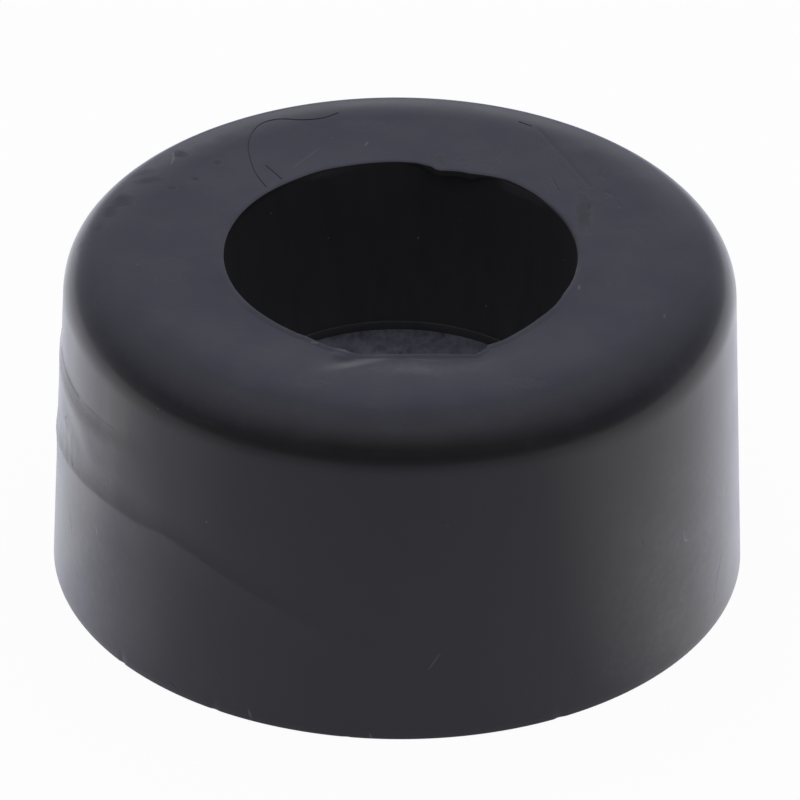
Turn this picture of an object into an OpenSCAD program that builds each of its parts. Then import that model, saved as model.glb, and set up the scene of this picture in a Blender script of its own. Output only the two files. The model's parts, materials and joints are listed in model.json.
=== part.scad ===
// Screw-on rubber foot with a steel washer moulded into its recess.
// The wide face (Z = 0) goes against the case and the narrow tread face stands on the bench.

/* [Rubber body] */
// Diameter of the wide face that is screwed against the case
base_d = 38; // [34:0.5:60]
// Height from the wide face to the tread face
foot_h = 19.2; // [15:0.1:40]
// Slope of the outer wall in degrees, which lets the foot leave its mould
wall_draft = 1.8; // [0:0.1:4]
// Radius that rolls the outer wall over into the tread face
tread_edge_r = 2.6; // [0.5:0.1:3.5]
// How far the rubber under the washer stands back from the screw hole
screw_clear = 0.75; // [0.2:0.05:4]

/* [Recess] */
// Depth from the tread face down to the washer
recess_depth = 10.4; // [6:0.1:15]
// Slope of the recess wall in degrees
recess_draft = 4.2; // [1:0.1:8]
// Height of the narrower land at the foot of the recess wall
land_h = 0.5; // [0.2:0.1:2]
// Width of the ledge on top of the land
land_step = 0.1; // [0.05:0.05:0.5]

/* [Washer] */
// Outer diameter of the washer
washer_d = 22; // [19:0.5:26]
// Thickness of the washer
washer_t = 1.5; // [0.8:0.1:3]
// Diameter of the screw hole in the washer
screw_hole_d = 5.5; // [3.5:0.1:6]
// Bevel on both edges of the screw hole
hole_bevel = 0.2; // [0.1:0.05:0.3]
// How far the rubber laps over the washer's rim
washer_lap = 2.1; // [1:0.1:3.5]
// Gap that shrinkage leaves between the washer's rim and the rubber
rim_gap = 0.05; // [0.02:0.01:0.2]

/* [Trimmed mouth] */
// Depth of the bevel that the trimming knife left at the mouth
trim_depth = 0.9; // [0.3:0.1:2]
// Steepness of that bevel in degrees
trim_slope = 55; // [40:1:75]
// Thickness of the tongue of flash that was left on the mouth
flash_t = 0.4; // [0.2:0.05:1]
// How far the tongue of flash reaches into the recess
flash_reach = 0.62; // [0.2:0.02:1.5]

/* [Hidden] */
$fn = 120;

base_r = base_d / 2;
washer_r = washer_d / 2;
washer_top = foot_h - recess_depth;
washer_base = washer_top - washer_t;
hole_r = screw_hole_d / 2;

// The recess opens out from the washer: a short land, a ledge, then the sloping wall
land_r = washer_r - washer_lap;
land_top = washer_top + land_h;
mouth_r = land_r + land_step + (foot_h - land_top) * tan(recess_draft);

// Centre of the rolled edge, which touches the wall and the tread face
edge_z = foot_h - tread_edge_r;
edge_x = base_r - edge_z * tan(wall_draft) - tread_edge_r / cos(wall_draft);

// Cutters stand this far out of the faces that they cut
past = 1;

// The trimmed stretch of the mouth: direction in degrees, and how far the cut reaches past the round mouth
trim_points = [[-19, -0.1], [-30, 0.15], [-45, 0.32], [-68, 1.25], [-102, 0.66], [-110, 0.37], [-124, -0.1]];

// The tongue of flash: where it starts, where it is widest and where it has run out, in degrees
flash_start = 84.5;
flash_tip = 76.5;
flash_end = 57;
// How far the tongue's root is let into the rubber
flash_root = 0.5;

function polar(r, a) = [r * cos(a), r * sin(a)];

// Half section of the solid rubber, before anything is taken out of it
module outer_section() {
    polygon([
        [0, 0],
        [base_r, 0],
        [edge_x + tread_edge_r * cos(wall_draft), edge_z + tread_edge_r * sin(wall_draft)],
        [edge_x, edge_z],
        [edge_x, foot_h],
        [0, foot_h]
    ]);
    translate([edge_x, edge_z]) circle(r = tread_edge_r);
}

// Half section of the recess, the washer's seat and the hole below it
module inner_section() {
    polygon([
        [0, washer_top],
        [land_r, washer_top],
        [land_r, land_top],
        [land_r + land_step, land_top],
        [mouth_r, foot_h],
        [mouth_r + past * tan(recess_draft), foot_h + past],
        [0, foot_h + past]
    ]);
    translate([0, washer_base]) square([washer_r + rim_gap, washer_t]);
    translate([0, -past]) square([hole_r + screw_clear, washer_base + 2 * past]);
}

// The trimmed stretch of the mouth, drawn smaller or larger by a step
module trim_outline(step) {
    polygon(concat([[0, 0]], [for (p = trim_points) polar(mouth_r + p[1] + step, p[0])]));
}

// What the knife took away: a flat-sided bevel, steeper than 45 degrees
module knife_cut() {
    run = trim_depth / tan(trim_slope);
    rise = past / tan(trim_slope);
    hull() {
        translate([0, 0, foot_h - trim_depth]) linear_extrude(0.01) trim_outline(-run);
        translate([0, 0, foot_h + past]) linear_extrude(0.01) trim_outline(rise);
    }
}

// The tongue of flash, flush with the tread face
module flash_tongue() {
    translate([0, 0, foot_h - flash_t]) linear_extrude(flash_t) polygon([
        polar(mouth_r, flash_start),
        polar(mouth_r - flash_reach, flash_tip),
        polar(mouth_r, flash_end),
        polar(mouth_r + flash_root, flash_end),
        polar(mouth_r + flash_root, (flash_start + flash_end) / 2),
        polar(mouth_r + flash_root, flash_start)
    ]);
}

module rubber_body() {
    color([0.10, 0.10, 0.11]) {
        difference() {
            rotate_extrude() difference() {
                outer_section();
                inner_section();
            }
            knife_cut();
        }
        flash_tongue();
    }
}

module steel_washer() {
    color([0.62, 0.63, 0.65]) translate([0, 0, washer_base]) rotate_extrude() polygon([
        [hole_r, hole_bevel],
        [hole_r + hole_bevel, 0],
        [washer_r, 0],
        [washer_r, washer_t],
        [hole_r + hole_bevel, washer_t],
        [hole_r, washer_t - hole_bevel]
    ]);
}

rubber_body();
steel_washer();
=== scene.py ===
import json
import math

import bpy
from mathutils import Matrix, Vector, kdtree, noise

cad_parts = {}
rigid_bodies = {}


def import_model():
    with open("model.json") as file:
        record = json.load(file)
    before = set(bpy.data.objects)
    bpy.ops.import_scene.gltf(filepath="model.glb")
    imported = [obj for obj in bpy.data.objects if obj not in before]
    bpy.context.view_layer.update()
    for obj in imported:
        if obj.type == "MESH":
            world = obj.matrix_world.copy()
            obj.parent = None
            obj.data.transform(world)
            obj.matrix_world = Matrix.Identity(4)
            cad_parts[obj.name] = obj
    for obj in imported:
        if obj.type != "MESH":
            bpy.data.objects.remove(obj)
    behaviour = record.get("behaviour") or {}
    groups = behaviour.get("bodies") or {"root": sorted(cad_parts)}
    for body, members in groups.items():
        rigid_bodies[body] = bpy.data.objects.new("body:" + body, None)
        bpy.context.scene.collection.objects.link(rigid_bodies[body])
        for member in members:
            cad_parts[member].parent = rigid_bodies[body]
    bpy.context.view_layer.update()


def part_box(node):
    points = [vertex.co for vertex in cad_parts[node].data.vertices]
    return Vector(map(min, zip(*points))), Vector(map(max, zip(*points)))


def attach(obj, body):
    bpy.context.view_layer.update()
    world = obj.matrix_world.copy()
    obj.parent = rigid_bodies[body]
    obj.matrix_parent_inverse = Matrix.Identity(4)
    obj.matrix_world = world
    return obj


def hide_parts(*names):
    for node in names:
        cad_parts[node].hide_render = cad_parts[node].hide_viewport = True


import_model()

mm = 0.001
rubberLow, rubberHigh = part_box("rubber_body")
washerLow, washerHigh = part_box("steel_washer")


def srgb(hexColour, alpha=1.0):
    # a written colour, turned to the linear values that the shaders take
    parts = [int(hexColour[i:i + 2], 16) / 255 for i in (1, 3, 5)]
    return [c / 12.92 if c <= 0.04045 else ((c + 0.055) / 1.055) ** 2.4 for c in parts] + [alpha]


def addNode(tree, kind, inputs=None, stops=None, **settings):
    # one node with its settings: an input is a value, a node, or one of a node's outputs; stops fill a ramp
    node = tree.nodes.new(kind)
    for name, value in settings.items():
        setattr(node, name, value)
    for name, value in (inputs or {}).items():
        if isinstance(value, bpy.types.Node):
            value = value.outputs[0]
        if isinstance(value, bpy.types.NodeSocket):
            tree.links.new(value, node.inputs[name])
        else:
            node.inputs[name].default_value = value
    for i, (place, colour) in enumerate(sorted((stops or {}).items())):
        point = node.color_ramp.elements[i] if i < 2 else node.color_ramp.elements.new(place)
        point.position = place
        point.color = srgb(colour)
    return node


def smooth(low, high, value):
    t = min(1.0, max(0.0, (value - low) / (high - low)))
    return t * t * (3 - 2 * t)


def emptyMaterial(name):
    material = bpy.data.materials.new(name)
    material.use_nodes = True
    material.node_tree.nodes.clear()
    return material, material.node_tree


# The view, at the photograph's own angle
view = {
    "distance": 0.78195,
    "elevation": 32.989,
    "pitch": 32.383,
    "yaw": -0.0084,
    "roll": 0.467,
    "lens": 636.02,
    "sensor": 36.0,
}


def placeCamera():
    up = math.radians(view["elevation"])
    data = bpy.data.cameras.new("photoCamera")
    data.lens = view["lens"]
    data.sensor_width = view["sensor"]
    data.clip_start = 0.01
    camera = bpy.data.objects.new("photoCamera", data)
    bpy.context.scene.collection.objects.link(camera)
    turn = Matrix.Rotation(math.radians(view["yaw"]), 4, "Z")
    turn = turn @ Matrix.Rotation(math.radians(90 - view["pitch"]), 4, "X")
    turn = turn @ Matrix.Rotation(math.radians(view["roll"]), 4, "Z")
    place = Vector((0, -math.cos(up), math.sin(up))) * view["distance"]
    camera.matrix_world = Matrix.Translation(place) @ turn
    bpy.context.scene.camera = camera


# What the foot mirrors, by heading from the camera's side and by height above the horizon, both in degrees.
# Black rubber shows little but its surroundings, so they are drawn: darker round the horizon.
studio = {
    "sky": {
        0: {-8: "#A0A0A4", 8: "#858587", 22: "#6E6E6E", 38: "#6C6C6D", 52: "#94949A", 70: "#BCBCC8",
            90: "#D8D8EA"},
        85: {-8: "#A0A0AA", 8: "#7E7E88", 24: "#7A7A86", 40: "#A8A8BA", 60: "#C2C2D2", 90: "#D8D8EA"},
        140: {-8: "#A4A4B0", 5: "#848490", 20: "#9A9AAA", 35: "#B8B8CE", 60: "#D4D4E8", 90: "#D8D8EA"},
        180: {-8: "#B0B0BC", 5: "#B8B8C6", 15: "#ECECF6", 20: "#FAFAFF", 27: "#BEBED8", 35: "#AEAECC",
              50: "#C0C0DA", 90: "#D8D8EA"},
    },
    "skyBlend": [(15, 80), (85, 140), (162, 178)],
    "floorGloss": {-180: "#383838", -169: "#404044", -155: "#FFFFFF", -87: "#FFFFFF", -79: "#E8E8F0",
                   -57: "#E2E2EC", -45: "#D4D4E2", 0: "#D2D2E2", 38: "#D4D4E2", 60: "#FFFFFF", 155: "#FFFFFF",
                   169: "#404044", 180: "#383838"},
    "floorFade": [(0.030, 1.0), (0.120, 0.72)],
    "floorSize": 3.0,
    "floorColour": "#F4F4F4",
    "floorGlow": 0.96,
    "lampPower": 0.9,
    "lampSize": 0.5,
    "lampPlace": (0, 0.12, 0.6),
}


def headingAngle(tree, x, y):
    # degrees round from the camera's side, positive to the right
    forward = addNode(tree, "ShaderNodeMath", {0: y, 1: -1.0}, operation="MULTIPLY")
    turn = addNode(tree, "ShaderNodeMath", {0: x, 1: forward}, operation="ARCTAN2")
    return addNode(tree, "ShaderNodeMath", {0: turn}, operation="DEGREES")


def lightStudio():
    world = bpy.data.worlds.new("studio")
    bpy.context.scene.world = world
    world.use_nodes = True
    tree = world.node_tree
    tree.nodes.clear()
    path = addNode(tree, "ShaderNodeLightPath")
    spot = addNode(tree, "ShaderNodeTexCoord")
    axes = addNode(tree, "ShaderNodeSeparateXYZ", {0: spot.outputs["Generated"]})
    rise = addNode(tree, "ShaderNodeMath", {0: axes.outputs["Z"]}, operation="ARCSINE")
    height = addNode(tree, "ShaderNodeMath", {0: rise}, operation="DEGREES")
    # the ramps run from 10 degrees under the horizon to straight overhead
    height = addNode(tree, "ShaderNodeMapRange", {"Value": height, "From Min": -10, "From Max": 90})
    turn = headingAngle(tree, axes.outputs["X"], axes.outputs["Y"])
    turn = addNode(tree, "ShaderNodeMath", {0: turn}, operation="ABSOLUTE")
    bands = []
    for heading, stops in sorted(studio["sky"].items()):
        shares = {(at + 10) / 100: colour for at, colour in stops.items()}
        bands.append(addNode(tree, "ShaderNodeValToRGB", {"Fac": height}, stops=shares).outputs["Color"])
    room = bands[0]
    for band, (start, end) in zip(bands[1:], studio["skyBlend"]):
        share = addNode(tree, "ShaderNodeMapRange", {"Value": turn, "From Min": start, "From Max": end})
        room = addNode(tree, "ShaderNodeMix", {0: share, 6: room, 7: band}, data_type="RGBA").outputs[2]
    seen = addNode(tree, "ShaderNodeBackground", {"Color": room, "Strength": 1.0})
    white = addNode(tree, "ShaderNodeBackground", {"Color": srgb("#FFFFFF"), "Strength": 1.0})
    chosen = addNode(tree, "ShaderNodeMixShader", {0: path.outputs["Is Camera Ray"], 1: seen, 2: white})
    addNode(tree, "ShaderNodeOutputWorld", {"Surface": chosen})
    # one large soft lamp overhead evens out the floor and gives the faint shadow
    data = bpy.data.lights.new("overheadLamp", "AREA")
    data.shape = "DISK"
    data.size = studio["lampSize"]
    data.energy = studio["lampPower"]
    lamp = bpy.data.objects.new("overheadLamp", data)
    bpy.context.scene.collection.objects.link(lamp)
    lamp.location = studio["lampPlace"]
    lamp.rotation_euler = Vector(lamp.location).to_track_quat("Z", "Y").to_euler()
    lamp.visible_glossy = False


def layFloor():
    bpy.ops.mesh.primitive_plane_add(size=studio["floorSize"], location=(0, 0, -0.02 * mm))
    floor = bpy.context.active_object
    floor.name = "floor"
    material, tree = emptyMaterial("matt white card")
    path = addNode(tree, "ShaderNodeLightPath")
    place = addNode(tree, "ShaderNodeTexCoord").outputs["Object"]
    axes = addNode(tree, "ShaderNodeSeparateXYZ", {0: place})
    turn = headingAngle(tree, axes.outputs["X"], axes.outputs["Y"])
    turn = addNode(tree, "ShaderNodeMapRange", {"Value": turn, "From Min": -180, "From Max": 180})
    shares = {(heading + 180) / 360: colour for heading, colour in studio["floorGloss"].items()}
    mirrored = addNode(tree, "ShaderNodeValToRGB", {"Fac": turn}, stops=shares).outputs["Color"]
    away = addNode(tree, "ShaderNodeVectorMath", {0: place}, operation="LENGTH").outputs["Value"]
    (near, bright), (far, dim) = studio["floorFade"]
    fade = addNode(tree, "ShaderNodeMapRange", {"Value": away, "From Min": near, "From Max": far,
                                                "To Min": bright, "To Max": dim})
    # for reflections the card glows with painted light and shade: white at the sides, greyer in front, dark
    # behind the foot, dimmer further out
    gloss = addNode(tree, "ShaderNodeEmission", {"Color": mirrored, "Strength": fade})
    shown = addNode(tree, "ShaderNodeEmission", {"Color": srgb("#FFFFFF"), "Strength": 1.0})
    card = addNode(tree, "ShaderNodeBsdfDiffuse", {"Color": srgb(studio["floorColour"])})
    # the camera, also through glass, sees white with the foot's shadow faintly on it
    direct = addNode(tree, "ShaderNodeMath", {0: path.outputs["Is Camera Ray"],
                                              1: path.outputs["Is Transmission Ray"]}, operation="MAXIMUM")
    glow = addNode(tree, "ShaderNodeMath", {0: direct, 1: studio["floorGlow"]}, operation="MULTIPLY")
    seen = addNode(tree, "ShaderNodeMixShader", {0: glow, 1: card, 2: shown})
    both = addNode(tree, "ShaderNodeMixShader", {0: path.outputs["Is Glossy Ray"], 1: seen, 2: gloss})
    addNode(tree, "ShaderNodeOutputMaterial", {"Surface": both})
    floor.data.materials.append(material)


# Modelling by hand: a chain of points, spun round the foot's axis
def deselectAll():
    if bpy.context.object and bpy.context.object.mode != "OBJECT":
        bpy.ops.object.mode_set(mode="OBJECT")
    bpy.ops.object.select_all(action="DESELECT")


def arcPoints(centre, radius, start, end, steps):
    # points of an arc in the half section, angles in degrees from the outward direction
    found = []
    for i in range(steps + 1):
        a = math.radians(start + (end - start) * i / steps)
        found.append((centre[0] + radius * math.cos(a), centre[1] + radius * math.sin(a)))
    return found


def between(first, last, steps):
    # points inside a straight stretch, without its ends
    return [(first[0] + (last[0] - first[0]) * i / steps, first[1] + (last[1] - first[1]) * i / steps)
            for i in range(1, steps)]


def spinSection(name, section, steps):
    # draws the half section in millimetres as a chain of extruded points, then spins it into a closed ring
    deselectAll()
    bpy.ops.mesh.primitive_plane_add(size=mm, location=(0, 0, 0))
    piece = bpy.context.active_object
    piece.name = name
    bpy.ops.object.mode_set(mode="EDIT")
    bpy.ops.mesh.merge(type="CENTER")
    here = section[0]
    bpy.ops.transform.translate(value=(here[0] * mm, 0, here[1] * mm))
    for point in section[1:] + section[:1]:
        step = ((point[0] - here[0]) * mm, 0, (point[1] - here[1]) * mm)
        bpy.ops.mesh.extrude_region_move(TRANSFORM_OT_translate={"value": step})
        here = point
    bpy.ops.mesh.select_all(action="SELECT")
    bpy.ops.mesh.spin(steps=steps, angle=2 * math.pi, center=(0, 0, 0), axis=(0, 0, 1))
    bpy.ops.mesh.select_all(action="SELECT")
    bpy.ops.mesh.remove_doubles(threshold=0.002 * mm)
    bpy.ops.mesh.normals_make_consistent(inside=False)
    bpy.ops.object.mode_set(mode="OBJECT")
    return piece


# Rubber body. Turns are degrees round the foot's axis, from the right (0) over the front (-90) to the left
# (-180) and on over the back (-270), which is also where they start (90). Lengths are millimetres.
rubber = {
    "edgeStand": 0.02,
    "wallDraft": 1.8,
    "baseRound": 0.12,
    "topStand": 0.004,
    "backRolls": [(4, 14.0), (10, 7.0), (88.2, 2.4)],
    "frontRolls": [(3, 16.0), (12, 5.2), (30, 3.35), (88.2, 2.55)],
    "rightDrop": 0.2,
    "rollStart": 1.5,
    "dish": {"deep": 0.06, "from": 10.3, "to": 14.4},
    "mouthRadius": 9.727,
    "mouthRound": 0.10,
    "landRadius": 8.9,
    "landTop": 9.3,
    "landStep": 0.1,
    "seatGap": 0.05,
    "screwHole": 3.5,
    "steps": 640,
    # the hand-trimmed mouth: how far its edge stands outside the moulded circle, by turn
    "mouthLine": [(-270, 0.0), (-253, 0.02), (-244, 0.08), (-233, -0.02), (-218, -0.05), (-199, -0.12),
                  (-180, -0.13), (-155, -0.09), (-137, -0.04), (-124, 0.07), (-121, 0.04), (-111, 0.38),
                  (-107, 0.38), (-105, 0.56), (-102, 0.65), (-68, 1.22), (-66.4, 1.12), (-63.2, 0.87),
                  (-62.3, 0.64), (-57, 0.62), (-50, 0.40), (-41, 0.22), (-30, 0.14), (-23, 0.01), (34, 0.01),
                  (42, 0.10), (53, 0.13), (58, -0.03), (63, -0.25), (66, -0.37), (69, -0.38), (76, -0.63),
                  (77.6, -0.57), (79.4, -0.34), (84.6, -0.08), (90, 0.0)],
    "chordPlace": 10.15,
    "chordTurns": (-102, -68),
    "raggedTurns": (-112, -56),
    "raggedDepth": 0.03,
    "trimReach": 2.9,
    "trimDeep": 2.3,
    "tongueThickness": 0.4,
    "ringThickness": 0.16,
    # the long flow line that runs down the wall, and the short crease above it: height by turn, strength by
    # turn, how high each stands out, and how far it reaches below and above its crest
    "flowLine": [(-215, 7.6), (-187, 8.1), (-173, 8.6), (-161, 9.06), (-151, 9.41), (-145, 9.6), (-138, 9.62),
                 (-133, 9.86), (-127, 9.5), (-117, 8.47), (-106, 7.12), (-92, 5.3), (-80, 3.8)],
    "flowStrength": [(-215, 0.0), (-190, 0.3), (-180, 0.6), (-172, 1.0), (-150, 1.0), (-138, 0.75),
                     (-125, 0.5), (-106, 0.28), (-92, 0.12), (-80, 0.0)],
    "flowHeight": 0.13,
    "flowReach": (2.4, 1.3),
    "rowsGather": 0.8,
    "crease": [(-200, 13.2), (-175, 12.85), (-166.4, 12.75), (-157.6, 12.75), (-150.6, 12.95), (-146.8, 13.3),
               (-141.5, 13.75)],
    "creaseStrength": [(-200, 0.0), (-182, 0.7), (-165, 1.0), (-150, 0.8), (-143, 0.3), (-136, 0.0)],
    "creaseHeight": 0.06,
    "creaseReach": (1.8, 1.05),
    "setBack": 0.10,
    "bumpHeight": 0.035,
    "waveHeight": 0.012,
    "dip": {"at": (-6.5, 11.4), "wide": 8.0, "deep": 0.07},
    # the knife's cut at the front lip, and the small flap at its left end
    "lip": {"start": (-3.1, -11.7), "end": (0.2, -10.35), "deep": 0.057, "flapAt": (-3.0, -10.15),
            "flapHeight": 0.042},
    # chips and kinks in the bottom edge: turn, half width in degrees, depth
    "nicks": [(-142, 0.6, 0.06), (-121.3, 0.9, 0.05), (-98, 0.7, 0.03), (-62, 1.1, 0.06)],
}


def onLine(points, at):
    # the value at a place on a line given by (place, value) points
    if at <= points[0][0]:
        return points[0][1]
    for (a, low), (b, high) in zip(points, points[1:]):
        if at <= b:
            return low + (high - low) * (at - a) / (b - a)
    return points[-1][1]


def rollPoints(rolls):
    # the rolled tread edge from the flat outwards: each roll goes on from where the last ended
    reach, drop, angle = 0.0, 0.0, 0.0
    found = [(0.0, 0.0, 0.0)]
    for end, radius in rolls:
        count = max(2, round((end - angle) / 4.5))
        for i in range(1, count + 1):
            a, b = (math.radians(angle + (end - angle) * k / count) for k in (i - 1, i))
            reach += radius * (math.sin(b) - math.sin(a))
            drop += radius * (math.cos(a) - math.cos(b))
            found.append((math.degrees(b), reach, drop))
        angle = end
    return found


treadTop = rubberHigh.z / mm - rubber["topStand"]
baseR = rubberHigh.x / mm - rubber["edgeStand"]
wallSlope = math.tan(math.radians(rubber["wallDraft"]))
backRoll = rollPoints(rubber["backRolls"])
frontRoll = rollPoints(rubber["frontRolls"])


def wallRadius(height):
    return baseR - height * wallSlope


def flatRadius(roll):
    # where a rolled edge leaves the flat tread face, so that it ends on the sloping wall
    return wallRadius(treadTop - roll[-1][2]) - roll[-1][1]


def rubberSection():
    seatTop, seatBase = washerHigh.z / mm, washerLow.z / mm
    seatR = washerHigh.x / mm + rubber["seatGap"]
    hole, baseRound = rubber["screwHole"], rubber["baseRound"]
    edge = [(flatRadius(backRoll) + reach, treadTop - drop) for _, reach, drop in backRoll]
    chain = [(hole + 0.3, 0.0)] + between((hole + 0.3, 0.0), (baseR - baseRound, 0.0), 5)
    chain += arcPoints((baseR - baseRound, baseRound), baseRound, -90, 0, 4)
    chain += between(chain[-1], edge[-1], 46)
    chain += edge[::-1]
    mouthR, mouthRound = rubber["mouthRadius"], rubber["mouthRound"]
    chain += between(edge[0], (12.6, treadTop), 9) + [(12.6, treadTop)]
    chain += between((12.6, treadTop), (mouthR + mouthRound, treadTop), 15)
    chain += arcPoints((mouthR + mouthRound, treadTop - mouthRound), mouthRound, 90, 180, 4)
    wallTop = chain[-1]
    ledge = (rubber["landRadius"] + rubber["landStep"], rubber["landTop"])
    # short rows near the mouth, where the knife and the flash shape it
    near = [0.06, 0.14, 0.22, 0.30, 0.36, 0.42, 0.52, 0.7, 0.95, 1.3, 1.8]
    run = (wallTop[0] - ledge[0]) / (wallTop[1] - ledge[1])
    chain += [(wallTop[0] - d * run, wallTop[1] - d) for d in near]
    chain += between(chain[-1], ledge, 12)
    chain += [ledge, (rubber["landRadius"] + 0.02, ledge[1] - 0.01), (rubber["landRadius"], ledge[1] - 0.05)]
    chain += [(rubber["landRadius"], seatTop + 0.05), (rubber["landRadius"], seatTop)]
    chain += [(seatR, seatTop), (seatR, seatBase), (hole, seatBase), (hole, 0.3), (hole + 0.1, 0.1)]
    return chain


def softenFront(r, z, turn):
    # towards the front the tread edge rolls over more softly, and the tread is a little dished
    share = smooth(0.05, 0.75, -math.sin(math.radians(turn)))
    inner = rubber["mouthRadius"] + rubber["rollStart"]
    if share == 0:
        return r, z
    backFlat, frontFlat = flatRadius(backRoll), flatRadius(frontRoll)
    backEnd, frontEnd = treadTop - backRoll[-1][2], treadTop - frontRoll[-1][2]
    # the edge rolls over a little deeper at the right
    deeper = 1 + rubber["rightDrop"] * smooth(0.2, 0.75, math.cos(math.radians(turn)))
    softR, softZ = r, z
    if z > treadTop - 0.0001 and inner < r <= backFlat:
        softR = inner + (r - inner) * (frontFlat - inner) / (backFlat - inner)
    elif z >= backEnd - 0.001 and r > backFlat:
        rolled = onLine([(drop, a) for a, _, drop in backRoll], treadTop - z)
        softR = frontFlat + onLine([(a, reach) for a, reach, _ in frontRoll], rolled)
        drop = onLine([(a, drop) for a, _, drop in frontRoll], rolled)
        softR += drop * (deeper - 1) * wallSlope
        softZ = treadTop - drop * deeper
    elif r > wallRadius(z) - 0.02 and z > 1:
        frontEnd = treadTop - (treadTop - frontEnd) * deeper
        softZ = 1 + (z - 1) * (frontEnd - 1) / (backEnd - 1)
        softR = wallRadius(softZ)
    softR, softZ = r + (softR - r) * share, z + (softZ - z) * share
    if z > treadTop - 0.8:
        dish = rubber["dish"]
        softZ -= dish["deep"] * share * (1 - smooth(dish["from"], dish["to"], r))
    return softR, softZ


def mouthReach(turn):
    # how far the mouth's edge stands outside the moulded circle; the knife's straight cut has a ragged edge
    first, last = rubber["chordTurns"]
    reach = onLine(rubber["mouthLine"], turn)
    if first <= turn <= last:
        reach = rubber["chordPlace"] / abs(math.sin(math.radians(turn))) - rubber["mouthRadius"]
    ragged = smooth(rubber["raggedTurns"][0], -104, turn) * (1 - smooth(-64, rubber["raggedTurns"][1], turn))
    grain = noise.noise(Vector((turn * 0.9, 3.1, 0))) + 0.6 * noise.noise(Vector((turn * 2.3, 8.7, 0)))
    return reach + ragged * rubber["raggedDepth"] * grain


def trimMouth(r, z, turn, reach):
    # the knife's bevel goes down the wall as far as it cut in; flash is only a thin skin level with the tread
    depth = treadTop - z
    mouthR, mouthRound = rubber["mouthRadius"], rubber["mouthRound"]
    if r > mouthR + rubber["trimReach"] or depth > rubber["trimDeep"]:
        return r, z
    # cut edges are sharp, and the moulded edge at the right is the roundest
    crisp = 0.12 + 1.2 * smooth(-24, -8, turn) * (1 - smooth(30, 44, turn))
    if r < mouthR + mouthRound and depth < mouthRound:
        r, z = mouthR + (r - mouthR) * crisp, treadTop - depth * crisp
    if depth <= mouthRound + 0.001:
        return r + reach * (1 - smooth(mouthR, mouthR + rubber["trimReach"], r)), z
    if reach > 0:
        return r + reach * max(0.0, 1 - depth / (0.45 + 1.15 * reach)), z
    skin = rubber["ringThickness"]
    skin += (rubber["tongueThickness"] - skin) * smooth(0.1, 0.35, -reach)
    return r + reach * (1 - smooth(skin - 0.05, skin + 0.08, depth)), z


def foldWall(r, z, turn):
    # flow marks of the moulding: a long ridge with a crisp crest, a crease above it, and bumps between them
    if r < wallRadius(z) - 0.05 or z < 0.3:
        return r, z
    away = z - onLine(rubber["flowLine"], turn)
    strength = onLine(rubber["flowStrength"], turn)
    # the mesh's rows close up round the ridge, so that its crest stays crisp
    gathered = rubber["rowsGather"] * smooth(0.0, 0.2, strength) * (1 - smooth(0.0, 1.3, abs(away)))
    r += wallRadius(z - gathered * away) - wallRadius(z)
    z -= gathered * away
    away -= gathered * away
    below, over = rubber["flowReach"]
    ridge = max(0.0, 1 + away / below) ** 2 if away < 0 else max(0.0, 1 - away / over) ** 2.4
    push = rubber["flowHeight"] * strength * ridge
    above = z - onLine(rubber["crease"], turn)
    below, over = rubber["creaseReach"]
    fold = max(0.0, 1 + above / below) ** 2 if above < 0 else max(0.0, 1 - above / over) ** 1.2
    push += rubber["creaseHeight"] * onLine(rubber["creaseStrength"], turn) * fold
    side = math.radians(turn) * r
    band = smooth(0.1, 0.8, away) * (1 - smooth(-0.9, 0.4, above))
    broad = band * smooth(-205, -182, turn) * (1 - smooth(-150, -128, turn))
    push += rubber["bumpHeight"] * broad * noise.noise(Vector((side / 2.6, z / 1.5, 5.0)))
    fine = smooth(-0.2, 0.3, away) * (1 - smooth(1.0, 2.4, away))
    fine *= smooth(-200, -178, turn) * (1 - smooth(-164, -155, turn))
    push += rubber["bumpHeight"] * fine * noise.noise(Vector((side / 0.6, z / 0.5, 9.0)))
    # long shallow waves that shrinkage leaves in a thick moulding
    lift = smooth(0.3, 2.0, z)
    push += lift * rubber["waveHeight"] * noise.noise(Vector((side / 3.6, z / 7.0, 1.0)))
    push += lift * 0.2 * rubber["waveHeight"] * noise.noise(Vector((side / 1.5, z / 3.0, 4.0)))
    return r + push, z


def setBackTop(r, z, turn):
    # above the crease the moulding shrank a little inwards, up to the rolled edge
    above = z - onLine(rubber["crease"], turn)
    share = onLine(rubber["creaseStrength"], turn) * smooth(0.0, 1.1, above) * smooth(16.4, 18.0, r)
    return r - rubber["setBack"] * share


def dressLip(x, y, z):
    # the front lip: the knife left its inner part a little low, with a bright slope along the cut
    if z < treadTop - 0.4 or y > -8 or abs(x) > 7:
        return z
    lip = rubber["lip"]
    start, end = Vector(lip["start"]), Vector(lip["end"])
    along = (end - start).normalized()
    side = Vector((-along.y, along.x))
    place = Vector((x, y)) - start
    run, off = place.dot(along), place.dot(side)
    hold = smooth(-1.9, 1.0, run) * (1 - smooth(2.2, 3.9, run))
    z -= lip["deep"] * hold * smooth(-0.12, 0.78, off)
    # a small flap stands up at the left end of the cut
    flap = math.hypot((x - lip["flapAt"][0]) / 1.2, y - lip["flapAt"][1])
    return z + lip["flapHeight"] * hold * (1 - smooth(0.1, 0.7, flap))


def nickBase(r, z, turn):
    # small chips and kinks in the bottom edge
    for at, wide, deep in rubber["nicks"]:
        near = 1 - smooth(0.2, 1.0, abs(turn - at) / wide)
        if near > 0 and z < 0.8 and r > baseR - 0.6:
            r -= deep * near * (1 - smooth(0.0, 0.8, z))
    return r


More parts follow.
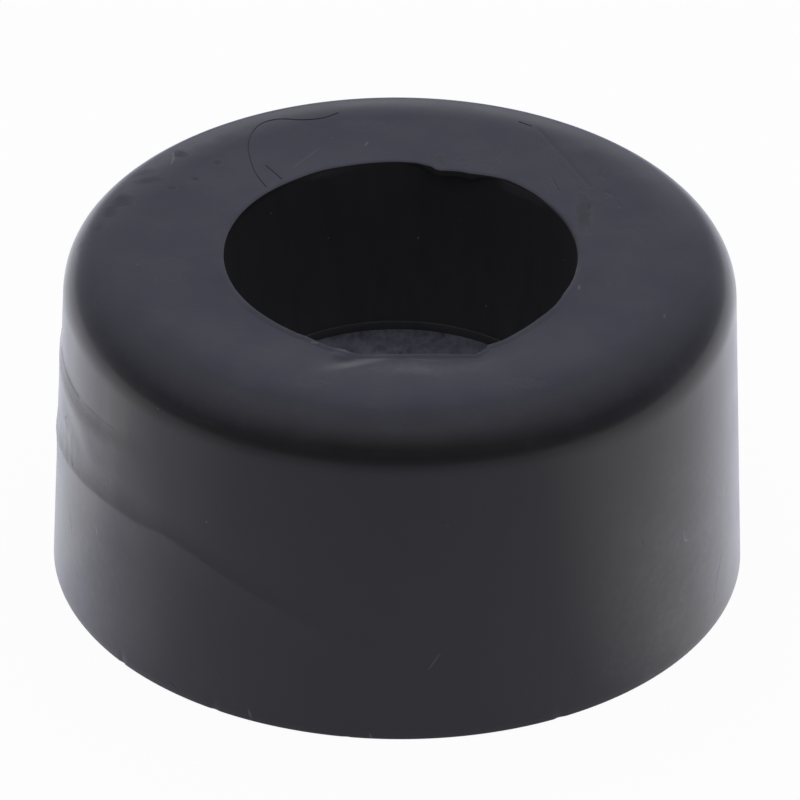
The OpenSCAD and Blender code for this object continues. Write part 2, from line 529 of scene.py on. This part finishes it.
def sculptBody(body):
    # the hand work after the spin, point by point
    dip = rubber["dip"]
    for vert in body.data.vertices:
        x, y, z = (c / mm for c in vert.co)
        r, turn = math.hypot(x, y), math.degrees(math.atan2(y, x))
        turn = turn - 360 if turn > 90 else turn
        if r > 8.95 and z > 0.001 or r > 18:
            r, z = softenFront(r, z, turn)
            if z > treadTop - rubber["trimDeep"] and r < rubber["mouthRadius"] + rubber["trimReach"]:
                r, z = trimMouth(r, z, turn, mouthReach(turn))
            r, z = foldWall(r, z, turn)
            r = setBackTop(nickBase(r, z, turn), z, turn)
            x, y = r * math.cos(math.radians(turn)), r * math.sin(math.radians(turn))
            z = dressLip(x, y, z)
            if z > treadTop - 0.3:
                away = math.hypot(x - dip["at"][0], y - dip["at"][1])
                z -= dip["deep"] * (1 - smooth(0.0, dip["wide"], away))
        vert.co = (x * mm, y * mm, z * mm)


# What the tread and wall have picked up, with painted sheen and a painted highlight among them: smears as (x,
# y, half width, half height, strength), and lines as (half width, strength, points). Tread points are (x, y);
# wall points are (turn, height).
marks = {
    "grime": [(-15.3, 5.6, 0.8, 0.9, 0.9), (-15.9, 4.5, 0.6, 0.8, 0.9), (-16.6, 3.0, 0.5, 0.9, 0.8),
              (-17.2, 1.7, 0.4, 0.8, 0.6), (-13.8, 7.6, 0.8, 0.5, 0.7), (-12.6, 6.7, 0.35, 0.5, 0.9),
              (-11.3, 7.8, 0.3, 0.3, 0.9), (-10.1, 9.5, 0.35, 0.5, 0.9), (-12.2, 10.5, 0.5, 0.6, 0.9),
              (-14.3, 8.6, 1.0, 0.5, 0.5), (10.1, 4.4, 0.5, 2.3, 0.7), (9.9, 6.3, 0.3, 0.6, 0.5),
              (2.2, 10.0, 0.5, 0.9, 0.6), (3.4, 9.9, 0.5, 0.3, 0.5), (5.0, 9.6, 0.6, 0.5, 0.3),
              (-9.6, 12.0, 0.7, 0.4, 0.4), (9.9, 5.2, 0.3, 0.4, 0.6), (-4.6, -13.2, 1.2, 0.4, 0.3),
              (7.0, -13.0, 1.6, 0.5, 0.3), (12.5, 2.0, 1.2, 1.4, 0.25), (-12.4, -1.8, 1.3, 1.9, 0.3)],
    # dust smears; the long one at (0.5, -11.6) is a painted highlight along the front lip's cut
    "dustAndPaintedLight": [(-14.9, 6.6, 0.5, 0.4, 0.3), (-13.9, 9.2, 0.7, 0.5, 0.8), (-11.9, 10.8, 0.5, 0.5, 0.7),
             (-10.4, 11.9, 0.8, 0.5, 0.6), (-8.3, 12.9, 1.2, 0.5, 0.4), (9.8, 11.4, 1.6, 0.5, 0.5),
             (13.2, 8.6, 1.5, 0.7, 0.4), (0.5, -11.6, 3.4, 0.7, 1.1), (-2.0, 13.6, 2.6, 0.6, 0.3)],
    "treadDark": [(0.24, 0.6, [(7.7, 13.3), (8.6, 11.35), (9.2, 10.2), (9.7, 9.0), (10.15, 8.1),
                               (10.5, 7.2)]),
                  (0.05, 0.8, [(12.0, 5.6), (12.05, 5.2)]),
                  (0.03, 0.3, [(5.6, 11.6), (5.65, 11.0), (5.6, 10.5)]),
                  (0.05, 0.4, [(14.4, 4.6), (14.45, 4.3)])],
    "treadTicks": [(0.03, 0.8, [(8.4, 8.1), (8.6, 7.4), (8.75, 6.8)]),
                   (0.06, 0.6, [(11.1, 8.9), (11.05, 8.5), (11.2, 8.2)]),
                   (0.07, 0.6, [(11.4, 6.6), (11.6, 6.4)]),
                   (0.05, 0.5, [(10.5, 5.5), (10.35, 4.9)])],
    # pale scuff lines; the one from (0.6, -10.55) is a painted highlight along the front lip's cut
    "treadScuffsAndHighlight": [(0.03, 0.5, [(-12.55, 10.6), (-12.5, 10.0), (-12.6, 9.5)]),
                   (0.03, 0.15, [(-5.8, 9.3), (-5.0, 10.4), (-4.6, 11.0)]),
                   (0.05, 0.1, [(0.6, -10.55), (1.5, -10.7), (2.4, -10.8)]),
                   (0.04, 0.4, [(-1.9, 11.55), (-1.85, 11.7)]),
                   (0.04, 0.4, [(-4.65, -8.97), (-4.5, -9.0)]),
                   (0.05, 0.4, [(9.78, -3.3), (9.8, -3.1)]),
                   (0.04, 0.3, [(14.4, -6.0), (14.4, -6.1)])],
    "wallDark": [(0.03, 0.5, [(-19.8, 4.1), (-21.5, 3.0), (-23.7, 1.8)]),
                 (0.05, 0.6, [(-45.0, 9.3), (-44.6, 9.0)]),
                 (0.05, 0.6, [(-130.2, 0.75), (-128.6, 0.45)]),
                 (0.05, 0.6, [(-142.2, 0.4), (-141.6, 0.15)]),
                 (0.06, 0.6, [(-162.5, 5.9), (-161.7, 5.4), (-161.2, 5.2)]),
                 (0.12, 0.6, [(-176, 13.8), (-170.8, 13.77), (-168, 13.7), (-161.7, 13.77), (-157.8, 13.87)]),
                 (0.08, 0.35, [(-157.6, 13.88), (-153.9, 14.07), (-150.2, 14.16), (-146.4, 14.36)]),
                 (0.05, 0.5, [(-168.5, 10.7), (-166.5, 11.3)]),
                 (0.12, 0.35, [(-164.0, 9.75), (-162.2, 9.5), (-160.4, 9.35)]),
                 (0.10, 0.4, [(-167.4, 10.1), (-166.4, 10.0)]),
                 (0.05, 0.4, [(-147.5, 11.0), (-147.0, 10.6)])],
    "wallLight": [(0.06, 0.9, [(-33.4, 7.7), (-33.3, 7.3), (-32.8, 7.3)]),
                  (0.03, 0.7, [(-10.5, 7.9), (-10.5, 7.3)]),
                  (0.03, 0.6, [(-17.8, 8.0), (-18.0, 7.5)]),
                  (0.03, 0.6, [(-21.0, 7.4), (-21.1, 7.0)]),
                  (0.08, 0.9, [(-150.9, 7.03), (-150.8, 6.95)]),
                  (0.05, 0.8, [(-114.7, 0.5), (-114.6, 0.4)]),
                  (0.06, 0.8, [(-94.1, 0.25), (-94.0, 0.12)]),
                  (0.06, 0.8, [(-166.4, 9.95), (-166.2, 9.75)]),
                  (0.09, 0.9, [(-169.2, 12.75), (-169.0, 12.55)]),
                  (0.05, 0.6, [(-151.5, 2.85), (-151.4, 2.75)]),
                  (0.03, 0.3, [(-84.4, 4.6), (-83.0, 5.3)])],
    "lineReach": 0.7,
    "treadFilm": 0.02,
    "dustAndHighlightShare": 0.09,
    # painted sheen on the wall, by turn: it lightens the left and right sides, most near the bottom
    "paintedWallSheen": [(-215, 0.0), (-190, 0.12), (-172, 0.22), (-156, 0.20), (-144, 0.06), (-128, 0.0),
                 (-58, 0.0), (-46, 0.09), (-30, 0.20), (-14, 0.26), (0, 0.20), (18, 0.0)],
}


def onSurface(point, wall):
    # a place on the tread or the wall as a vector in millimetres, and the way that the surface faces there
    if wall:
        a = math.radians(point[0])
        out = Vector((math.cos(a), math.sin(a), 0))
        return out * wallRadius(point[1]) + Vector((0, 0, point[1])), out
    return Vector((point[0], point[1], treadTop)), Vector((0, 0, 1))


def drawLines(body, name, lines, wall):
    # each point near a line keeps its signed distance to it, the line's half width and its strength
    layer = body.data.attributes.new(name, "FLOAT_VECTOR", "POINT")
    tree = kdtree.KDTree(len(body.data.vertices))
    for i, vert in enumerate(body.data.vertices):
        tree.insert(vert.co / mm, i)
        layer.data[i].vector = (9.0, 0.05, 0.0)
    tree.balance()
    for halfWidth, strength, points in lines:
        placed = [onSurface(point, wall) for point in points]
        nearest = {}
        for (a, out), (b, _) in zip(placed, placed[1:]):
            along = (b - a).normalized()
            across = out.cross(along)
            for place, i, _ in tree.find_range((a + b) / 2, (b - a).length / 2 + marks["lineReach"]):
                run = (place - a).dot(along)
                beyond = max(0.0, -run, run - (b - a).length)
                off = (place - a).dot(across)
                near = math.hypot(off, beyond)
                if near < marks["lineReach"] and near < nearest.get(i, (9.0, 0))[0]:
                    fade = strength * (1 - smooth(0.0, 0.22, beyond))
                    nearest[i] = (near, (off, halfWidth, fade))
        for i, (_, values) in nearest.items():
            layer.data[i].vector = values


def paintSmears(body):
    # how much grime each point of the rubber carries, and how much dust and painted light: dust on the tread,
    # a painted highlight at the front lip, painted sheen low on the side walls
    grime = body.data.attributes.new("grime", "FLOAT", "POINT")
    dustAndPaintedLight = body.data.attributes.new("dustAndPaintedLight", "FLOAT", "POINT")
    for vert in body.data.vertices:
        x, y, z = (c / mm for c in vert.co)
        r, turn = math.hypot(x, y), math.degrees(math.atan2(y, x))
        turn = turn - 360 if turn > 90 else turn
        dirt, filmAndPaintedLight = 0.0, 0.0
        if z > treadTop - 1.6 and r > rubber["mouthRadius"] - 0.8:
            wobble = 0.45 * noise.noise(Vector((x / 0.5, y / 0.6, 2.0)))
            wobble += 0.3 * noise.noise(Vector((x * 5, y * 5, 7.0)))
            for px, py, wide, high, strength in marks["grime"]:
                away = math.hypot((x - px) / wide, (y - py) / high) + wobble
                dirt = max(dirt, strength * (1 - smooth(0.3, 1.25, away)))
            for px, py, wide, high, strength in marks["dustAndPaintedLight"]:
                away = math.hypot((x - px) / wide, (y - py) / high) + wobble
                filmAndPaintedLight += strength * (1 - smooth(0.2, 1.4, away))
            filmAndPaintedLight = marks["treadFilm"] + marks["dustAndHighlightShare"] * filmAndPaintedLight
        # on the side walls the layer is painted sheen, strongest below 6 mm and fading by 16 mm
        elif r > 17 and z < treadTop - 1.6:
            filmAndPaintedLight = onLine(marks["paintedWallSheen"], turn) * (1 - 0.9 * smooth(6, 16, z))
        grime.data[vert.index].value = dirt
        dustAndPaintedLight.data[vert.index].value = filmAndPaintedLight


def makeRubberBody():
    body = spinSection("rubber_foot_body", rubberSection(), rubber["steps"])
    sculptBody(body)
    print("rubber body shaped")
    bpy.ops.object.shade_smooth_by_angle(angle=math.radians(40))
    drawLines(body, "treadDark", marks["treadDark"], False)
    drawLines(body, "treadTicks", marks["treadTicks"], False)
    drawLines(body, "treadScuffsAndHighlight", marks["treadScuffsAndHighlight"], False)
    drawLines(body, "wallDark", marks["wallDark"], True)
    drawLines(body, "wallLight", marks["wallLight"], True)
    paintSmears(body)
    for finish in (skinRubber(), recessRubber()):
        body.data.materials.append(finish)
    for face in body.data.polygons:
        centre = face.center / mm
        inside = math.hypot(centre.x, centre.y) < rubber["mouthRadius"] + 1.4 and centre.z > 0.5
        face.material_index = 1 if inside and (centre.z < treadTop - 0.4 or face.normal.z < 0.5) else 0
    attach(body, "root")
    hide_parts("rubber_body")
    print("rubber body:", len(body.data.polygons), "faces")
    return body


# Steel washer
washer = {
    "bevel": 0.2,
    "screwHole": 2.75,
    "rimRound": 0.15,
    "steps": 256,
}


def makeWasher():
    top, base = washerHigh.z / mm, washerLow.z / mm
    rim, hole, bevel = washerHigh.x / mm, washer["screwHole"], washer["bevel"]
    edge = washer["rimRound"]
    chain = [(hole, base + bevel), (hole + bevel, base), (rim - edge, base)]
    chain += arcPoints((rim - edge, base + edge), edge, -90, 0, 4)[1:]
    chain += arcPoints((rim - edge, top - edge), edge, 0, 90, 4)
    chain += between((rim - edge, top), (hole + bevel + 0.05, top), 12)
    chain += [(hole + bevel + 0.05, top), (hole + bevel, top - 0.01), (hole, top - bevel)]
    piece = spinSection("moulded_in_washer", chain, washer["steps"])
    bpy.ops.object.shade_smooth_by_angle(angle=math.radians(40))
    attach(piece, "root")
    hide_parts("steel_washer")
    print("washer:", len(piece.data.polygons), "faces")
    return piece


# Finishes
def lineMask(tree, name):
    # one where a drawn line runs, zero away from it
    drawn = addNode(tree, "ShaderNodeAttribute", attribute_name=name)
    parts = addNode(tree, "ShaderNodeSeparateXYZ", {0: drawn.outputs["Vector"]})
    off = addNode(tree, "ShaderNodeMath", {0: parts.outputs[0]}, operation="ABSOLUTE")
    edge = addNode(tree, "ShaderNodeMath", {0: parts.outputs[1], 1: 0.06}, operation="ADD")
    core = addNode(tree, "ShaderNodeMapRange", {0: off, 1: 0.0, 2: edge, 3: 1.0, 4: 0.0},
                   interpolation_type="SMOOTHSTEP")
    return addNode(tree, "ShaderNodeMath", {0: core, 1: parts.outputs[2]}, operation="MULTIPLY")


def specks(tree, place, spacing, size, share):
    # scattered round specks: each cell of this spacing holds one or none, and a share of the cells holds one
    cells = addNode(tree, "ShaderNodeTexVoronoi", {0: place, "Scale": 1 / (spacing * mm), "Randomness": 1.0})
    dot = addNode(tree, "ShaderNodeMapRange", {0: cells.outputs["Distance"], 1: 0.4 * size / spacing,
                                               2: size / spacing, 3: 1.0, 4: 0.0})
    pick = addNode(tree, "ShaderNodeSeparateXYZ", {0: cells.outputs["Color"]})
    chosen = addNode(tree, "ShaderNodeMath", {0: pick, 1: share}, operation="LESS_THAN")
    return addNode(tree, "ShaderNodeMath", {0: dot, 1: chosen}, operation="MULTIPLY")


skin = {
    "cloud": 2.2,
    "mottle": 0.5,
    "pitting": 0.16,
    "bare": "#0B0B0B",
    "grimy": "#12120F",
    "dustAndPaintedLightGrey": "#77777A",
    "scuffAndHighlightGrey": "#B4B4B8",
    "glossRange": (0.16, 0.26),
    "texture": 0.003,
    "sheenRoughness": 0.37,
    "sheenTint": "#F4F4FF",
    "specks": {"spacing": 1.3, "size": 0.055, "share": 0.10},
    "scuffAndHighlightShare": 0.35,
    "grimeDulls": 0.42,
    "scratchDulls": 0.4,
    "scratchDepth": 3.5,
}


def skinRubber():
    # moulded black rubber: near-black in itself, so the eye sees mostly the soft sheen of its skin, with
    # dust, dull smears and fine scratches on it, and painted sheen and a painted highlight in its colour
    material, tree = emptyMaterial("moulded black rubber")
    place = addNode(tree, "ShaderNodeTexCoord").outputs["Object"]
    dustAndPaintedLight = addNode(tree, "ShaderNodeAttribute", attribute_name="dustAndPaintedLight").outputs["Fac"]
    grime = addNode(tree, "ShaderNodeAttribute", attribute_name="grime").outputs["Fac"]
    cloud = addNode(tree, "ShaderNodeTexNoise", {0: place, "Scale": 1 / (skin["cloud"] * mm), "Detail": 3.0})
    mottle = addNode(tree, "ShaderNodeTexNoise", {0: place, "Scale": 1 / (skin["mottle"] * mm),
                                                  "Detail": 3.0, "Roughness": 0.6})
    pitting = addNode(tree, "ShaderNodeTexNoise", {0: place, "Scale": 1 / (skin["pitting"] * mm)})
    dark = addNode(tree, "ShaderNodeMath", {0: lineMask(tree, "treadDark"), 1: lineMask(tree, "wallDark")},
                   operation="MAXIMUM")
    dark = addNode(tree, "ShaderNodeMath", {0: dark, 1: lineMask(tree, "treadTicks")}, operation="MAXIMUM")
    light = addNode(tree, "ShaderNodeMath", {0: lineMask(tree, "treadScuffsAndHighlight"), 1: lineMask(tree, "wallLight")},
                    operation="MAXIMUM")
    speck = specks(tree, place, **skin["specks"])
    # dust lies in clouds and lightens the rubber; the same layer paints sheen on the side walls and a
    # highlight at the front lip
    clouds = addNode(tree, "ShaderNodeMapRange", {0: cloud, 1: 0.35, 2: 0.65, 3: 0.4, 4: 1.6})
    lumps = addNode(tree, "ShaderNodeMapRange", {0: mottle, 1: 0.35, 2: 0.65, 3: 0.7, 4: 1.3})
    filmAndPaintedLight = addNode(tree, "ShaderNodeMath", {0: dustAndPaintedLight, 1: clouds}, operation="MULTIPLY")
    filmAndPaintedLight = addNode(tree, "ShaderNodeMath", {0: filmAndPaintedLight, 1: lumps}, operation="MULTIPLY", use_clamp=True)
    colour = addNode(tree, "ShaderNodeMix", {0: grime, 6: srgb(skin["bare"]), 7: srgb(skin["grimy"])},
                     data_type="RGBA").outputs[2]
    colour = addNode(tree, "ShaderNodeMix", {0: filmAndPaintedLight, 6: colour, 7: srgb(skin["dustAndPaintedLightGrey"])},
                     data_type="RGBA").outputs[2]
    # pale specks and scuff lines, one of them a painted highlight along the front lip's cut
    scuffsAndHighlight = addNode(tree, "ShaderNodeMath", {0: speck, 1: 0.7}, operation="MULTIPLY")
    scuffsAndHighlight = addNode(tree, "ShaderNodeMath", {0: scuffsAndHighlight, 1: light}, operation="ADD")
    scuffsAndHighlight = addNode(tree, "ShaderNodeMath", {0: scuffsAndHighlight, 1: skin["scuffAndHighlightShare"]}, operation="MULTIPLY")
    colour = addNode(tree, "ShaderNodeMix", {0: scuffsAndHighlight, 6: colour, 7: srgb(skin["scuffAndHighlightGrey"])},
                     data_type="RGBA").outputs[2]
    # grime and the bottoms of scratches are duller than the skin
    smoothest, dullest = skin["glossRange"]
    gloss = addNode(tree, "ShaderNodeMapRange", {0: cloud, 1: 0.3, 2: 0.7, 3: smoothest, 4: dullest})
    gloss = addNode(tree, "ShaderNodeMath", {0: grime, 1: skin["grimeDulls"], 2: gloss},
                    operation="MULTIPLY_ADD")
    gloss = addNode(tree, "ShaderNodeMath", {0: dark, 1: skin["scratchDulls"], 2: gloss},
                    operation="MULTIPLY_ADD")
    # grime has a lumpy skin of its own
    lumpy = addNode(tree, "ShaderNodeMath", {0: grime, 1: 5.0, 2: 0.9}, operation="MULTIPLY_ADD")
    height = addNode(tree, "ShaderNodeMath", {0: mottle, 1: 0.5}, operation="SUBTRACT")
    height = addNode(tree, "ShaderNodeMath", {0: height, 1: lumpy}, operation="MULTIPLY")
    height = addNode(tree, "ShaderNodeMath", {0: pitting, 1: 0.25, 2: height}, operation="MULTIPLY_ADD")
    height = addNode(tree, "ShaderNodeMath", {0: dark, 1: -skin["scratchDepth"], 2: height},
                     operation="MULTIPLY_ADD")
    bump = addNode(tree, "ShaderNodeBump", {"Strength": 1.0, "Distance": skin["texture"] * mm,
                                            "Height": height})
    finish = addNode(tree, "ShaderNodeBsdfPrincipled", {
        "Base Color": colour, "Roughness": gloss, "IOR": 1.5, "Normal": bump, "Sheen Weight": 1.0,
        "Sheen Roughness": skin["sheenRoughness"], "Sheen Tint": srgb(skin["sheenTint"])})
    addNode(tree, "ShaderNodeOutputMaterial", {"Surface": finish})
    return material


recess = {
    "streak": 0.9,
    "dustAndGlareTop": 0.09,
    "dustAndGlareBottom": 0.215,
    "bare": "#0D0D0D",
    "dustAndPaintedLightGrey": "#8A8A88",
    "speck": "#B0B0B0",
    "specks": {"spacing": 0.8, "size": 0.07, "share": 0.30},
    "roughness": 0.6,
    "texture": 0.01,
}


def recessRubber():
    # the same rubber down in the recess, never wiped: fine dust and painted glare make it a dull neutral
    # black, lighter towards the bottom
    material, tree = emptyMaterial("dusty black rubber with painted glare")
    place = addNode(tree, "ShaderNodeTexCoord").outputs["Object"]
    axes = addNode(tree, "ShaderNodeSeparateXYZ", {0: place})
    long = addNode(tree, "ShaderNodeMapping", {0: place, "Scale": (1, 1, 0.25)})
    streak = addNode(tree, "ShaderNodeTexNoise", {0: long, "Scale": 1 / (recess["streak"] * mm),
                                                  "Detail": 3.0})
    speck = specks(tree, place, **recess["specks"])
    filmAndPaintedLight = addNode(tree, "ShaderNodeMapRange", {0: axes.outputs["Z"], 1: 9 * mm, 2: 19 * mm,
                                                3: recess["dustAndGlareBottom"], 4: recess["dustAndGlareTop"]})
    uneven = addNode(tree, "ShaderNodeMapRange", {0: streak, 1: 0.3, 2: 0.7, 3: 0.88, 4: 1.12})
    filmAndPaintedLight = addNode(tree, "ShaderNodeMath", {0: filmAndPaintedLight, 1: uneven}, operation="MULTIPLY")
    colour = addNode(tree, "ShaderNodeMix", {0: filmAndPaintedLight, 6: srgb(recess["bare"]), 7: srgb(recess["dustAndPaintedLightGrey"])},
                     data_type="RGBA").outputs[2]
    dots = addNode(tree, "ShaderNodeMath", {0: speck, 1: 0.5}, operation="MULTIPLY")
    colour = addNode(tree, "ShaderNodeMix", {0: dots, 6: colour, 7: srgb(recess["speck"])},
                     data_type="RGBA").outputs[2]
    bump = addNode(tree, "ShaderNodeBump", {"Strength": 0.4, "Distance": recess["texture"] * mm,
                                            "Height": streak})
    finish = addNode(tree, "ShaderNodeBsdfPrincipled", {
        "Base Color": colour, "Roughness": recess["roughness"], "IOR": 1.5, "Normal": bump})
    addNode(tree, "ShaderNodeOutputMaterial", {"Surface": finish})
    return material


plate = {
    "blotch": 1.1,
    "streak": 0.28,
    "bare": "#BCBEC8",
    "residue": "#5E6068",
    "speck": "#DADAE0",
    "specks": {"spacing": 0.8, "size": 0.09, "share": 0.5},
    "glossRange": (0.46, 0.64),
    "texture": 0.01,
}


def zincPlatedSteel():
    # zinc-plated steel that the hot rubber has dulled: a mottled grey without a clear mirror image
    material, tree = emptyMaterial("dull zinc-plated steel")
    place = addNode(tree, "ShaderNodeTexCoord").outputs["Object"]
    long = addNode(tree, "ShaderNodeMapping", {0: place, "Scale": (1, 0.4, 1)})
    blotch = addNode(tree, "ShaderNodeTexNoise", {0: place, "Scale": 1 / (plate["blotch"] * mm),
                                                  "Detail": 3.0, "Roughness": 0.6})
    streak = addNode(tree, "ShaderNodeTexNoise", {0: long, "Scale": 1 / (plate["streak"] * mm),
                                                  "Detail": 3.0, "Roughness": 0.6})
    speck = specks(tree, place, **plate["specks"])
    patches = addNode(tree, "ShaderNodeMapRange", {0: blotch, 1: 0.35, 2: 0.68, 3: 0.1, 4: 0.55})
    residue = addNode(tree, "ShaderNodeMapRange", {0: streak, 1: 0.3, 2: 0.75, 3: 0.0, 4: 0.45})
    residue = addNode(tree, "ShaderNodeMath", {0: residue, 1: patches}, operation="ADD")
    colour = addNode(tree, "ShaderNodeMix", {0: residue, 6: srgb(plate["bare"]), 7: srgb(plate["residue"])},
                     data_type="RGBA").outputs[2]
    dots = addNode(tree, "ShaderNodeMath", {0: speck, 1: 0.6}, operation="MULTIPLY")
    colour = addNode(tree, "ShaderNodeMix", {0: dots, 6: colour, 7: srgb(plate["speck"])},
                     data_type="RGBA").outputs[2]
    brightest, dullest = plate["glossRange"]
    gloss = addNode(tree, "ShaderNodeMapRange", {0: streak, 1: 0.3, 2: 0.7, 3: brightest, 4: dullest})
    bump = addNode(tree, "ShaderNodeBump", {"Strength": 0.4, "Distance": plate["texture"] * mm,
                                            "Height": streak})
    finish = addNode(tree, "ShaderNodeBsdfPrincipled", {
        "Base Color": colour, "Metallic": 0.8, "Roughness": gloss, "Normal": bump})
    addNode(tree, "ShaderNodeOutputMaterial", {"Surface": finish})
    return material


# Lint on the tread: one long curled hair and two short pieces
lint = {
    "radius": 0.015,
    "sunk": 0.2,
    "hairs": [[(-3.45, 14.95), (-4.3, 14.4), (-5.4, 14.2), (-6.7, 14.3), (-7.5, 14.0), (-8.1, 13.1),
               (-8.4, 11.6), (-8.27, 10.0), (-7.9, 8.3), (-7.35, 7.0)],
              [(-7.4, 9.3), (-6.95, 8.6), (-6.5, 7.85)],
              [(6.55, 14.15), (6.9, 13.9), (7.3, 13.65)]],
    "dark": "#222123",
    "light": "#3A383C",
}


def makeHair(body):
    # smooth curves through the hairs' points, laid on the tread and given their thickness
    deselectAll()
    curve = bpy.data.curves.new("lint_hair", "CURVE")
    curve.dimensions = "3D"
    curve.bevel_depth = lint["radius"] * mm
    curve.bevel_resolution = 2
    curve.use_fill_caps = True
    highest = rubberHigh.z - (lint["radius"] + 0.001) * mm
    for points in lint["hairs"]:
        spline = curve.splines.new("BEZIER")
        spline.bezier_points.add(len(points) - 1)
        for knot, (x, y) in zip(spline.bezier_points, points):
            start = Vector((x * mm, y * mm, 2 * rubberHigh.z))
            _, ground, _, _ = body.ray_cast(start, Vector((0, 0, -1)))
            knot.co = (x * mm, y * mm, min(highest, ground.z + (1 - lint["sunk"]) * lint["radius"] * mm))
            knot.handle_left_type = knot.handle_right_type = "AUTO"
    hair = bpy.data.objects.new("lint_hair", curve)
    bpy.context.scene.collection.objects.link(hair)
    bpy.context.view_layer.objects.active = hair
    hair.select_set(True)
    bpy.ops.object.convert(target="MESH")
    hair = bpy.context.active_object
    for face in hair.data.polygons:
        face.use_smooth = True
    # the fibre is dark and matt, without the rubber's sheen
    material, tree = emptyMaterial("dark lint fibre")
    place = addNode(tree, "ShaderNodeTexCoord").outputs["Object"]
    uneven = addNode(tree, "ShaderNodeTexNoise", {0: place, "Scale": 1 / (0.4 * mm)})
    shade = addNode(tree, "ShaderNodeMix", {0: uneven, 6: srgb(lint["dark"]), 7: srgb(lint["light"])},
                    data_type="RGBA").outputs[2]
    fibre = addNode(tree, "ShaderNodeBsdfPrincipled", {"Base Color": shade, "Roughness": 0.7, "IOR": 1.45})
    addNode(tree, "ShaderNodeOutputMaterial", {"Surface": fibre})
    hair.data.materials.append(material)
    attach(hair, "root")
    print("hair:", len(hair.data.polygons), "faces")
    return hair


bpy.context.scene.view_settings.view_transform = "Standard"
placeCamera()
lightStudio()
layFloor()
print("studio ready")
rubberBody = makeRubberBody()
steelWasher = makeWasher()
steelWasher.data.materials.append(zincPlatedSteel())
makeHair(rubberBody)
print("finishes on")
